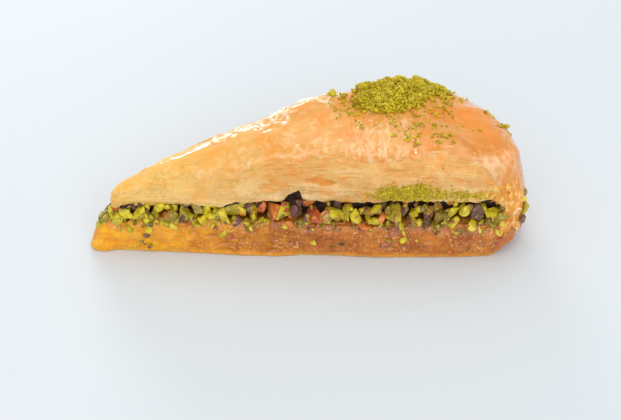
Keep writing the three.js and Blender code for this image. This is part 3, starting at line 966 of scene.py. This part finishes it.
def flake(rng, size, bend):
    """A torn, curled scrap of one leaf: a closed thin shell."""
    n = 7
    u, v = np.meshgrid(np.linspace(-1, 1, n), np.linspace(-1, 1, n), indexing="ij")
    flat = np.stack([u, v, u * 0], axis=-1)
    torn = (1 + 0.5 * noise(flat * 2, 1.3, int(rng.integers(1000)))) / np.sqrt(1 + 0.8 * u ** 2 * v ** 2)
    x, y = u * torn, v * torn * rng.uniform(0.4, 0.8)
    z = bend * (x ** 2 - 0.4 * y ** 2) + 0.2 * noise(flat * 2, 1.0, int(rng.integers(1000)))
    upper = np.stack([x, y, z], axis=-1).reshape(-1, 3) * size / 2
    lower = upper - np.array((0, 0, 0.22))
    faces = []
    for a in range(n - 1):
        for b in range(n - 1):
            quad = [a * n + b, (a + 1) * n + b, (a + 1) * n + b + 1, a * n + b + 1]
            faces.append(quad)
            faces.append([k + n * n for k in reversed(quad)])
    rim = [b for b in range(n)] + [a * n + n - 1 for a in range(1, n)]
    rim += [(n - 1) * n + b for b in range(n - 2, -1, -1)] + [a * n for a in range(n - 2, 0, -1)]
    for k, a in enumerate(rim):
        b = rim[(k + 1) % len(rim)]
        faces.append([a, b, b + n * n, a + n * n])
    return np.concatenate([upper, lower]), faces


# Big pale scraps at the near corner: how far back from the front (mm), how high, and how big.
CORNER_SCRAPS = ((7.0, 11.5, 6.0), (8.2, 14.5, 4.5), (5.5, 19.5, 4.0))


def crust_foot(top):
    """The crisp stack's foot all round, its outward directions, and the stations of the rim's near corner."""
    foot = top.at(np.full((1, STATIONS), 1.0))[0]
    along = place_along(foot) / LENGTH
    corner = np.flatnonzero((along > 0.9) & (foot[:, 1] < LOW[1] + 9))
    return foot, unit(top.normals[4] * LEVEL), corner


def wall_point(trees, foot, away, level, reach):
    """The point of the wall at a height over a foot point, and its normal, no deeper than reach."""
    start = 12.0
    origin = Vector((foot[0], foot[1], level)) + Vector(away) * start
    found = first_hit(trees, origin, -Vector(away), start + reach)
    return None if found is None else (found[0], unit(away + 0.4 * found[1]))


LACE_FOLDS = 96
FOLD_CORNERS = 6  # of a fold's section


def corner_lace(top, trees):
    """Frayed syrupy folds that run down the rim's near corner and close the gap between the two stacks."""
    rng = np.random.default_rng(161)
    foot, outward, corner = crust_foot(top)
    share = place_along(foot) / LENGTH
    points, faces, crests = [], [], []
    for k in range(LACE_FOLDS):
        i = int(rng.choice(corner))
        closes = share[i] > 0.945
        z = rng.uniform(19, 33) if k % 4 else rng.uniform(13, 19)
        length = rng.uniform(6.0, 15.0) if closes else rng.uniform(4.0, 9.0)
        steps = int(length / 0.45) + 3
        width, lift = rng.uniform(0.9, 2.6), rng.uniform(0.1, 0.4)
        drift = rng.normal() * 0.12
        wave, phase = rng.uniform(0.2, 0.7), rng.uniform(0, 6)
        lowest = rng.uniform(7.0, 12.0)
        spine, normals = [], []
        for step in range(steps + 1):
            t = step / steps
            swing = wave * math.sin(t * length * 0.7 + phase) + drift * step * 0.6
            column = (i + round(swing)) % STATIONS
            level = z - t * length
            hangs = level < foot[column, 2] + 0.5
            reach = 1.0 if hangs else 12.0
            found = wall_point(trees, foot[column], outward[column], level, reach) if level > lowest else None
            if found is None and closes and hangs and level > lowest:
                found = np.array((*(foot[column] - outward[column] * 0.6)[:2], level)), outward[column]
            if found is None:
                break
            spine.append(found[0])
            normals.append(found[1])
        if len(spine) < 6:
            continue
        spine, normals = blur(np.array(spine), 1.4, 0, False), np.array(normals)
        side = unit(np.cross(unit(np.gradient(spine, axis=0)), normals))
        t = np.linspace(0.03, 0.97, len(spine))[:, None]
        swell = np.sin(math.pi * t) ** 0.5
        bulge = lift * swell * (0.7 + 0.5 * np.sin(t * length * 1.7 + phase))
        half = width / 2 * swell * (0.8 + 0.35 * np.sin(t * length * 2.3 + 2 * phase))
        out = spine + normals * bulge
        ring = np.stack([
            spine - side * half - normals * 0.4,
            lerp(spine, out, 0.65) - side * half * 0.85,
            out - side * half * 0.3,
            out + side * half * 0.3,
            lerp(spine, out, 0.65) + side * half * 0.85,
            spine + side * half - normals * 0.4,
        ], axis=1)
        faces += tube_faces(len(points), len(ring), FOLD_CORNERS)
        points += ring.reshape(-1, 3).tolist()
        crests += [rng.random()] * (FOLD_CORNERS * len(ring))
    crest = 0.6 * np.array(crests) ** 2
    return mesh_object("corner_lace", kept_in(np.array(points)), faces, {"crest": crest})


RIM_FLAKES = 44


def rim_flakes(top, trees):
    """A few curled scraps of crust at the rim's foot, most of them at the near corner."""
    rng = np.random.default_rng(131)
    points, faces, crests = [], [], []
    foot, outward, corner = crust_foot(top)
    rim_stations = np.flatnonzero(top.rim > 0.25)
    for k in range(RIM_FLAKES):
        at_corner = k % 3 > 0
        i = int(rng.choice(corner if at_corner else rim_stations))
        size = rng.uniform(1.6, 4.0)
        level = rng.uniform(10, 19) + (rng.uniform(0, 12) * rng.random() if at_corner else 0)
        if k < len(CORNER_SCRAPS):
            across, level, size = CORNER_SCRAPS[k]
            i = corner[int(np.argmin(np.abs(foot[corner, 1] - LOW[1] - across)))]
        shape, flake_faces = flake(rng, size, rng.uniform(0.15, 0.5))
        found = wall_point(trees, foot[i], outward[i], level, 2.0)
        if found is None:
            continue
        spot, normal = found
        along = unit(np.cross(SKY, normal))
        basis = np.stack([along, np.cross(normal, along), normal])
        tilt = rng.uniform(-1.1, 1.1)
        c, s = math.cos(tilt), math.sin(tilt)
        turn = np.array(((c, s, 0), (-s, c, 0), (0, 0, 1)))
        shape = turned_about_x(shape, rng.uniform(-0.6, 0.6)) @ turn @ basis
        shape = kept_in(shape + spot + normal * rng.uniform(-0.3, 0.25))
        faces += [[v + len(points) for v in face] for face in flake_faces]
        points += shape.tolist()
        crests += [1.0 if k < len(CORNER_SCRAPS) else rng.random()] * len(shape)
    return mesh_object("rim_flakes", np.array(points), faces, {"crest": np.array(crests) ** 2})


def turned_about_x(points, angle):
    c, s = math.cos(angle), math.sin(angle)
    return points @ np.array(((1, 0, 0), (0, c, s), (0, -s, c)))


# ---------------------------------------------------------------- materials

def srgb(red, green, blue):
    """A colour given as 0 to 255 in sRGB, as linear RGBA."""
    channel = lambda c: c / 12.92 if c <= 0.04045 else ((c + 0.055) / 1.055) ** 2.4
    return (*[channel(c / 255) for c in (red, green, blue)], 1.0)


class Shade:
    """Builds one Principled material from a few kinds of node."""

    def __init__(self, name, **sockets):
        self.material = bpy.data.materials.new(name)
        self.material.use_nodes = True
        self.nodes = self.material.node_tree.nodes
        self.links = self.material.node_tree.links
        self.shader = self.nodes["Principled BSDF"]
        for key, value in sockets.items():
            self.shader.inputs[key.replace("_", " ")].default_value = value
        self.place = self.nodes.new("ShaderNodeTexCoord").outputs["Object"]

    def put(self, socket, value):
        if isinstance(value, bpy.types.NodeSocket):
            self.links.new(value, socket)
        else:
            socket.default_value = value

    def node(self, kind, **inputs):
        """A new node whose inputs are set to values or joined to other nodes' outputs."""
        node = self.nodes.new("ShaderNode" + kind)
        for key, value in inputs.items():
            self.put(node.inputs[key.replace("_", " ")], value)
        return node

    def noise(self, size_mm, detail, distortion=0.0, stretch=None):
        where = self.place
        if stretch:
            where = self.node("Mapping", Vector=self.place, Scale=stretch).outputs["Vector"]
        texture = self.node("TexNoise", Vector=where, Scale=1 / (size_mm * MM), Detail=detail,
                            Roughness=0.55, Distortion=distortion)
        return texture.outputs["Fac"]

    def attribute(self, name):
        node = self.node("Attribute")
        node.attribute_name = name
        return node.outputs["Fac"]

    def along(self):
        """Metres along the slice's length from its middle."""
        return self.node("SeparateXYZ", Vector=self.place).outputs["X"]

    def spread(self, value, low, high, to_low=0.0, to_high=1.0):
        """A value's smooth way from low to high, as a number from to_low to to_high."""
        node = self.node("MapRange", Value=value)
        node.interpolation_type = "SMOOTHSTEP"
        for key, number in (("From Min", low), ("From Max", high), ("To Min", to_low), ("To Max", to_high)):
            node.inputs[key].default_value = number
        return node.outputs["Result"]

    def mix(self, share, a, b):
        node = self.node("Mix", Factor=share)
        node.data_type = "RGBA"
        first, second = [socket for socket in node.inputs if socket.type == "RGBA"]
        self.put(first, a)
        self.put(second, b)
        return [socket for socket in node.outputs if socket.type == "RGBA"][0]

    def maths(self, operation, a, b):
        node = self.node("Math")
        node.operation = operation
        self.put(node.inputs[0], a)
        self.put(node.inputs[1], b)
        return node.outputs[0]

    def tint(self, colour, share, strength, rgb):
        """The colour turned towards another by share times strength."""
        return self.mix(self.maths("MULTIPLY", share, strength), colour, srgb(*rgb))

    def finish(self, colour, roughness=None, bumps=()):
        """The finished material, from a colour, a roughness and bumps of (height, depth in mm, strength)."""
        self.put(self.shader.inputs["Base Color"], colour)
        if roughness is not None:
            self.put(self.shader.inputs["Roughness"], roughness)
        normal = None
        for height, depth, strength in bumps:
            node = self.node("Bump", Distance=depth * MM, Strength=strength, Height=height)
            if normal is not None:
                self.links.new(normal, node.inputs["Normal"])
            normal = node.outputs["Normal"]
        if normal is not None:
            self.links.new(normal, self.shader.inputs["Normal"])
        return self.material


def pastry_colour(s):
    """The colours that the crisp leaves and the sheet share: cream low on the cut, peach to orange above."""
    rise, tone, over = s.attribute("rise"), s.attribute("tone"), s.attribute("over")
    low = s.mix(s.spread(tone, 0.15, 0.85), srgb(198, 152, 90), srgb(230, 197, 146))
    high = s.mix(s.spread(tone, 0.15, 0.85), srgb(224, 154, 72), srgb(231, 184, 114))
    face = s.mix(s.spread(rise, 0.05, 0.62), low, high)
    broad = s.spread(s.noise(20, 3), 0.35, 0.65)
    crown = s.mix(broad, srgb(225, 166, 90), srgb(222, 151, 64))
    colour = s.mix(s.maths("MAXIMUM", over, s.spread(rise, 0.6, 0.86, 0.0, 0.7)), face, crown)
    patch = s.spread(s.noise(6, 4, distortion=0.6), 0.49, 0.64)
    colour = s.tint(colour, patch, 0.6, (230, 138, 38))
    pale = s.spread(s.noise(3.3, 3, distortion=1.0), 0.53, 0.67)
    colour = s.tint(colour, pale, 0.35, (248, 210, 156))
    west = s.spread(s.along(), 0.005, -0.065)
    colour = s.tint(colour, west, 0.6, (244, 194, 92))
    east = s.maths("MULTIPLY", s.spread(s.along(), 0.02, 0.07), over)
    colour = s.tint(colour, east, 0.9, (208, 122, 6))
    # Darker in the creases between leaves and in cracks: painted shade.
    colour = s.tint(colour, s.attribute("crease_shade"), 0.7, (206, 140, 68))
    colour = s.mix(s.attribute("pocket"), colour, srgb(238, 158, 2))
    rim = s.maths("MULTIPLY", s.attribute("rim"), s.spread(s.noise(4.5, 4), 0.3, 0.62, 0.35, 0.95))
    return s.mix(rim, colour, srgb(226, 138, 44))


def leaf_material(name, inner_glow):
    """Cut edges of crisp leaves. A thin scrap has no inner glow: light would leave through its back."""
    s = Shade(name, Subsurface_Weight=inner_glow, Subsurface_Radius=(1.0, 0.5, 0.2),
              Subsurface_Scale=0.0012, Specular_IOR_Level=0.3)
    fibres = s.spread(s.noise(1.6, 4, stretch=(0.35, 0.35, 1.6)), 0.35, 0.65)
    colour = s.mix(s.maths("MULTIPLY", fibres, 0.3), pastry_colour(s), srgb(240, 206, 142))
    mottle = s.spread(s.noise(2.2, 3), 0.5, 0.66)
    colour = s.tint(colour, mottle, 0.35, (210, 154, 70))
    colour = s.tint(colour, s.attribute("dust"), 0.7, (206, 176, 34))
    bumps = [(s.noise(0.9, 3, stretch=(0.2, 0.2, 1.8)), 0.1, 0.6), (s.noise(1.6, 2), 0.12, 0.4)]
    return s.finish(colour, s.spread(s.noise(1.2, 3), 0.3, 0.7, 0.3, 0.55), bumps)


def sheet_material():
    """The glossy upper leaves, wet with syrup."""
    s = Shade("syrup_sheet", Subsurface_Weight=0.6, Subsurface_Radius=(1.0, 0.45, 0.16),
              Subsurface_Scale=0.0015, Specular_IOR_Level=0.05, Coat_Weight=1.0, Coat_Roughness=0.06,
              Coat_IOR=1.48)
    # Pale crests of wrinkles, tucks and knots: painted highlight.
    colour = s.mix(s.maths("MULTIPLY", s.attribute("crest"), 0.55), pastry_colour(s), srgb(254, 212, 168))
    # Near-white rims of fallen bubbles: painted highlight.
    colour = s.tint(colour, s.attribute("painted_ring_highlight"), 0.75, (255, 238, 214))
    bumps = [(s.noise(2.6, 3, distortion=0.8), 0.14, 0.5), (s.noise(0.9, 2), 0.05, 0.35)]
    return s.finish(colour, s.spread(s.noise(4, 3), 0.3, 0.7, 0.25, 0.45), bumps)


def lace_material():
    """Frayed crust soaked with syrup: amber to golden by each fold's and scrap's own crest value, and pale
    where that value is highest, as on the dry scraps.
    """
    s = Shade("syrup_lace", Specular_IOR_Level=0.05, Coat_Weight=1.0, Coat_Roughness=0.08, Coat_IOR=1.48)
    crest = s.attribute("crest")
    colour = s.mix(s.spread(crest, 0.0, 0.5), srgb(218, 136, 34), srgb(250, 192, 104))
    colour = s.tint(colour, s.spread(s.noise(1.5, 3), 0.42, 0.6), 0.5, (232, 156, 46))
    colour = s.mix(s.spread(crest, 0.65, 1.0), colour, srgb(250, 218, 168))
    bumps = [(s.noise(1.4, 3, distortion=0.8), 0.2, 0.6), (s.noise(0.6, 2), 0.06, 0.4)]
    return s.finish(colour, s.spread(s.noise(2, 3), 0.3, 0.7, 0.2, 0.45), bumps)


def soaked_material():
    """Caramel, syrup-soaked leaves: yellow at the tip and browner towards the rim."""
    s = Shade("soaked_leaves", Subsurface_Weight=0.7, Subsurface_Radius=(1.0, 0.4, 0.1),
              Subsurface_Scale=0.004, Specular_IOR_Level=0.1, Coat_Weight=0.8, Coat_Roughness=0.12,
              Coat_IOR=1.45)
    east = s.spread(s.along(), -0.078, 0.01)
    pale = s.mix(east, srgb(252, 186, 4), srgb(204, 123, 32))
    dark = s.mix(east, srgb(222, 132, 0), srgb(150, 72, 4))
    share = s.maths("MULTIPLY", s.attribute("tone"), 0.5)
    share = s.maths("ADD", share, s.spread(s.noise(4.0, 2.5), 0.35, 0.68, 0.0, 0.6))
    colour = s.mix(share, dark, pale)
    # Darker in the torn dips: painted shade.
    colour = s.tint(colour, s.attribute("crease_shade"), 0.6, (160, 74, 4))
    # Pale specks of sugar crystals, made brighter for their sparkle: partly real colour, partly painted
    # highlight.
    crystals_and_sparkle = s.spread(s.noise(0.8, 2), 0.56, 0.66)
    crystals_and_sparkle = s.maths("MULTIPLY", crystals_and_sparkle, s.spread(s.noise(6, 2), 0.38, 0.58, 0.15, 0.65))
    colour = s.mix(crystals_and_sparkle, colour, srgb(242, 192, 132))
    foot = s.spread(s.attribute("rise"), 0.17, 0.03, 0.0, 0.8)
    colour = s.mix(foot, colour, srgb(238, 156, 36))
    colour = s.tint(colour, s.attribute("rim"), 0.85, (210, 114, 2))
    bumps = [(s.noise(2.2, 3), 0.7, 0.9), (s.noise(0.8, 2), 0.3, 0.9)]
    return s.finish(colour, s.spread(s.noise(1.1, 3), 0.35, 0.65, 0.15, 0.42), bumps)


def nut_material(name, flesh, deep, speck_and_glint_colour, stain, gloss):
    """Chopped nut: flesh from pale to deep, pale specks that are partly cut flesh and partly painted
    highlight, stains, and skin on its outside.
    """
    s = Shade(name, Subsurface_Weight=0.3, Subsurface_Radius=(0.8, 1.0, 0.2), Subsurface_Scale=0.0007,
              Specular_IOR_Level=0.3, Coat_Weight=gloss, Coat_Roughness=0.1)
    colour = s.mix(s.spread(s.attribute("tone"), 0.25, 0.9), srgb(*flesh), srgb(*deep))
    mottle = s.spread(s.noise(1.8, 4), 0.42, 0.66)
    colour = s.tint(colour, mottle, 0.6, deep)
    # Pale specks: partly freshly cut flesh, partly painted highlight.
    pale_specks_and_glints = s.spread(s.noise(0.9, 3), 0.53, 0.68)
    colour = s.tint(colour, pale_specks_and_glints, 0.55, speck_and_glint_colour)
    blot = s.spread(s.noise(2.6, 3), 0.58, 0.68)
    colour = s.tint(colour, blot, 0.65, stain)
    skin = s.maths("MULTIPLY", s.attribute("skin"), s.spread(s.noise(2.0, 3), 0.3, 0.5))
    colour = s.mix(skin, colour, srgb(108, 56, 60))
    bumps = [(s.noise(1.2, 4), 0.3, 0.7), (s.noise(0.5, 2), 0.1, 0.6)]
    return s.finish(colour, s.spread(s.noise(0.8, 2), 0.3, 0.7, 0.3, 0.6), bumps)


def core_shade_material():
    # Near black, for the deep shade in the gaps under the crisp stack: painted shade.
    s = Shade("nut_core_shade", Roughness=0.6, Specular_IOR_Level=0.3)
    colour = s.mix(s.spread(s.noise(2.4, 4), 0.4, 0.7), srgb(42, 26, 26), srgb(96, 74, 34))
    colour = s.tint(colour, s.attribute("tone"), 0.5, (54, 32, 34))
    bumps = [(s.noise(1.0, 3), 0.3, 0.8)]
    return s.finish(colour, bumps=bumps)


def floor_material():
    s = Shade("studio_floor", Roughness=0.6, Specular_IOR_Level=0.2)
    patches = s.spread(s.noise(300, 2), 0.3, 0.7)
    return s.finish(s.mix(patches, srgb(207, 211, 214), srgb(209, 213, 215)))


def show(piece, material, node):
    """Shows a piece, with its material, in place of a CAD node, which it hides, and hangs the piece under the
    root.
    """
    piece.data.materials.append(material)
    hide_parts(node)
    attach(piece, "root")


# ---------------------------------------------------------------- studio

def floor():
    size = 3000
    points = [(-size, -size, 0), (size, -size, 0), (size, size, 0), (-size, size, 0)]
    plane = mesh_object("floor", np.array(points, float), [[0, 1, 2, 3]])
    plane.data.materials.append(floor_material())


def area_light(name, at, size, power):
    """A soft lamp that faces the middle of the slice."""
    data = bpy.data.lights.new(name, "AREA")
    data.shape = "RECTANGLE"
    data.size, data.size_y = size
    data.energy = power
    lamp = bpy.data.objects.new(name, data)
    bpy.context.scene.collection.objects.link(lamp)
    lamp.location = at
    lamp.rotation_mode = "QUATERNION"
    lamp.rotation_quaternion = (Vector(at) - Vector((0, 0, 0.02))).to_track_quat("Z", "Y")


def studio():
    world = bpy.data.worlds.new("studio")
    world.use_nodes = True
    sky = world.node_tree.nodes["Background"]
    sky.inputs["Color"].default_value = (0.93, 0.97, 1.0, 1)
    sky.inputs["Strength"].default_value = 0.74
    bpy.context.scene.world = world
    area_light("overhead", (0.1, 0.2, 1.1), (1.0, 1.0), 3.6)
    area_light("front_fill", (0.15, -1.0, 0.62), (1.4, 0.9), 7.3)
    area_light("low_strip", (-0.3, 0.9, 0.3), (0.5, 0.08), 4.2)
    area_light("spark", (0.05, -0.28, 1.0), (0.12, 0.12), 0.5)
    bpy.context.scene.view_settings.view_transform = "Standard"


CAMERA_AZIMUTH = math.radians(2.1)
CAMERA_ELEVATION = math.radians(40.05)
CAMERA_DISTANCE = 0.5456
CAMERA_LENS = 85
CAMERA_TARGET = (0.0, 0.0012, 0.0)
IMAGE_WIDTH = 621


def camera():
    data = bpy.data.cameras.new("camera")
    data.lens = CAMERA_LENS
    data.sensor_width = 36
    data.clip_start = 0.01
    data.shift_x = -1.6 / IMAGE_WIDTH
    data.shift_y = -3.3 / IMAGE_WIDTH
    view = bpy.data.objects.new("camera", data)
    bpy.context.scene.collection.objects.link(view)
    flat = math.cos(CAMERA_ELEVATION)
    back = Vector((
        math.sin(CAMERA_AZIMUTH) * flat,
        -math.cos(CAMERA_AZIMUTH) * flat,
        math.sin(CAMERA_ELEVATION),
    ))
    view.location = Vector(CAMERA_TARGET) + back * CAMERA_DISTANCE
    view.rotation_mode = "QUATERNION"
    view.rotation_quaternion = back.to_track_quat("Z", "Y")
    bpy.context.scene.camera = view


# ---------------------------------------------------------------- the slice

def under_side(tree, at):
    """Height of the lowest surface over a point."""
    hit = cast(tree, (at[0], at[1], -5), (0, 0, 1))
    return hit[2]


def top_heart(tree, origin):
    ceiling = under_side(tree, origin)
    crown = cast(tree, (origin[0], origin[1], 90), (0, 0, -1))[2]
    return lerp(ceiling, crown, 0.35)


def build():
    camera()
    studio()
    floor()
    top = Skin(skin("top_pastry", 96, top_heart, under_side))
    low = Skin(skin("bottom_pastry", 64, lambda tree, origin: 9.0, lambda tree, at: 0.0))
    band = Band(low, top)

    flesh = {
        "green": ((220, 200, 36), (124, 100, 16), (238, 226, 90), (142, 82, 20), 0.5),
        "skin": ((186, 146, 60), (84, 50, 40), (176, 140, 72), (112, 46, 62), 0.6),
        "red": ((218, 124, 46), (178, 74, 38), (226, 192, 74), (150, 44, 52), 0.6),
        "ground": ((212, 190, 34), (166, 142, 6), (222, 204, 60), (148, 120, 16), 0.0),
    }
    nuts = {kind: nut_material("pistachio_" + kind, *colours) for kind, colours in flesh.items()}
    lace = lace_material()

    leaves, leaf_grid = top_leaves(top)
    show(leaves, leaf_material("crisp_leaves", 0.6), "top_pastry")
    sheet = top_sheet(top)
    show(sheet, sheet_material(), "top_pastry")
    base = soaked_stack(low)
    show(base, soaked_material(), "bottom_pastry")
    show(nut_core(band), core_shade_material(), "pistachio_filling")
    for kind, piece in chopped_nuts(band, base, tree_of(sheet)).items():
        show(piece, nuts[kind], "pistachio_filling")
    show(loose_leaf_edges(leaf_grid, top.rim), leaf_material("crisp_scraps", 0.0), "top_pastry")
    walls = [tree_of(piece) for piece in (leaves, sheet, base)]
    show(corner_lace(top, walls), lace, "top_pastry")
    show(rim_flakes(top, walls), lace, "top_pastry")

    heap, edge_map = heap_core(tree_of(sheet))
    crumbs = heap_grains(heap, sheet, edge_map), loose_crumbs(sheet), stuck_crumbs(leaves, sheet, base)
    for piece in (heap, *crumbs):
        show(piece, nuts["ground"], "pistachio_heap")


build()
